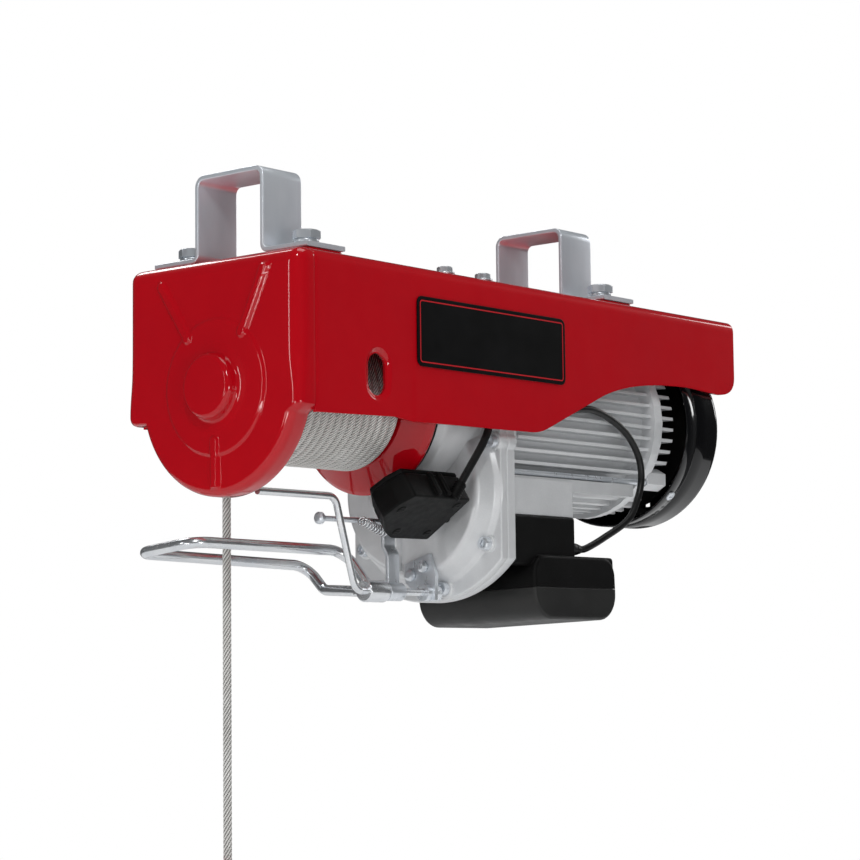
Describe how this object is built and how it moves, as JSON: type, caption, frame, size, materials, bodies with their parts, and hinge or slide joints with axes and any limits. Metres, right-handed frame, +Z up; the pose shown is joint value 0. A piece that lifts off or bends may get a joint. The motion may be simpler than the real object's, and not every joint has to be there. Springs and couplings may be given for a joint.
{
  "type": "electric wire rope hoist",
  "caption": "Electric wire-rope hoist slung under a square beam by bolted strap clamps, with wound drum, gear case, finned motor, limit levers and a hook.",
  "frame": {"origin": "upper face of the frame's top plate, centred across its width and midway between the two beam clamps", "axes": "+X along the drum axis from the drum's end plate to the motor, +Y across from the name-plate side to the rope side, +Z up towards the beam"},
  "size_m": [0.51, 0.1612, 0.579],
  "materials": {
    "red_paint": "gloss",
    "zinc": "satin",
    "cast_aluminium": "satin",
    "steel": "satin",
    "rope_steel": "satin",
    "black_plastic": "matte",
    "gloss_black": "gloss",
    "black_rubber": "matte",
    "copper": "satin",
    "capacitor_can": "gloss"
  },
  "bodies": {
    "frame": {"beam_clamp_drum_end": "zinc", "beam_clamp_motor_end": "zinc", "brake_magnet": "copper", "capacitor": "capacitor_can", "capacitor_box_lower": "black_plastic", "capacitor_box_upper": "black_plastic", "clamp_bolt_1": "zinc", "clamp_bolt_2": "zinc", "clamp_bolt_3": "zinc", "clamp_bolt_4": "zinc", "drum_shield_ring": "black_rubber", "end_plate": "red_paint", "fan_cover": "gloss_black", "fan_cover_screw_1": "zinc", "fan_cover_screw_2": "zinc", "frame_channel": "red_paint", "gear_case": "cast_aluminium", "gear_case_bolt_1": "zinc", "gear_case_bolt_2": "zinc", "gear_case_bolt_3": "zinc", "gear_case_bolt_4": "zinc", "gear_case_cover": "cast_aluminium", "gear_case_screw_1": "zinc", "gear_case_screw_2": "zinc", "gear_case_screw_3": "zinc", "gear_case_screw_4": "zinc", "lever_bracket": "zinc", "lever_bracket_screw_1": "zinc", "lever_bracket_screw_2": "zinc", "lever_spring": "zinc", "limit_switch_box": "black_plastic", "motor_end_bell": "cast_aluminium", "motor_housing": "cast_aluminium", "motor_lead": "black_rubber", "motor_lead_boot": "black_rubber", "motor_terminal_block": "black_plastic", "motor_tie_rod_1": "zinc", "motor_tie_rod_2": "zinc", "name_plate": "gloss_black", "outboard_bearing": "steel", "spring_anchor_screw": "zinc", "stator": "copper", "switch_lead": "black_rubber"},
    "drum": {"drum": "red_paint", "rope_winding": "rope_steel", "drum_shaft": "steel", "drum_gear": "steel"},
    "layshaft": {"layshaft": "steel", "layshaft_gear": "steel"},
    "rotor": {"rotor_shaft": "steel", "rotor_core": "steel", "cooling_fan": "black_plastic"},
    "levers": {"feeler_rod": "zinc", "loop_lever": "zinc", "switch_lever": "zinc"},
    "plunger": {"switch_plunger": "steel"},
    "load": {"stop_weight": "red_paint", "hanging_rope": "rope_steel"},
    "hook": {"hook": "zinc"},
    "latch": {"hook_latch": "zinc"}
  },
  "joints": [
    {"name": "rotor_spin", "type": "hinge", "parent": "frame", "child": "rotor", "pos_m": [0.102, -0.005, -0.086], "axis": [1, 0, 0], "range_deg": [0, 7350]},
    {"name": "drum_spin", "type": "hinge", "parent": "frame", "child": "drum", "pos_m": [-0.118, -0.005, -0.086], "axis": [1, 0, 0], "range_deg": [0, 211]},
    {"name": "layshaft_spin", "type": "hinge", "parent": "frame", "child": "layshaft", "pos_m": [0.002, -0.005, -0.146], "axis": [1, 0, 0], "range_deg": [-1051, 0]},
    {"name": "hook_lift", "type": "slide", "parent": "frame", "child": "load", "axis": [0, 0, 1], "range_m": [0, 0.19], "deforming": ["hanging_rope"]},
    {"name": "lever_swing", "type": "hinge", "parent": "frame", "child": "levers", "pos_m": [-0.048, -0.022, -0.2175], "axis": [1, 0, 0], "range_deg": [0, 10], "stiffness_Nm_per_rad": 0.4, "springref_deg": -5.73},
    {"name": "plunger_press", "type": "slide", "parent": "frame", "child": "plunger", "axis": [0, -0.8387, 0.5446], "range_m": [0, 0.0056]},
    {"name": "hook_swivel", "type": "hinge", "parent": "load", "child": "hook", "pos_m": [-0.1365, 0.0463, -0.4343], "axis": [0, 0, 1], "continuous": true},
    {"name": "latch_swing", "type": "hinge", "parent": "hook", "child": "latch", "pos_m": [-0.1315, 0.0463, -0.4663], "axis": [0, 1, 0], "range_deg": [0, 40], "stiffness_Nm_per_rad": 0.02, "springref_deg": -17.19}
  ],
  "couplings": [
    {"joint": "drum_spin", "follows": "rotor_spin", "ratio": 0.028571},
    {"joint": "layshaft_spin", "follows": "rotor_spin", "ratio": -0.14286},
    {"joint": "hook_lift", "follows": "rotor_spin", "m_per_rad": 0.0014657},
    {"joint": "plunger_press", "follows": "lever_swing", "m_per_rad": 0.031513}
  ]
}
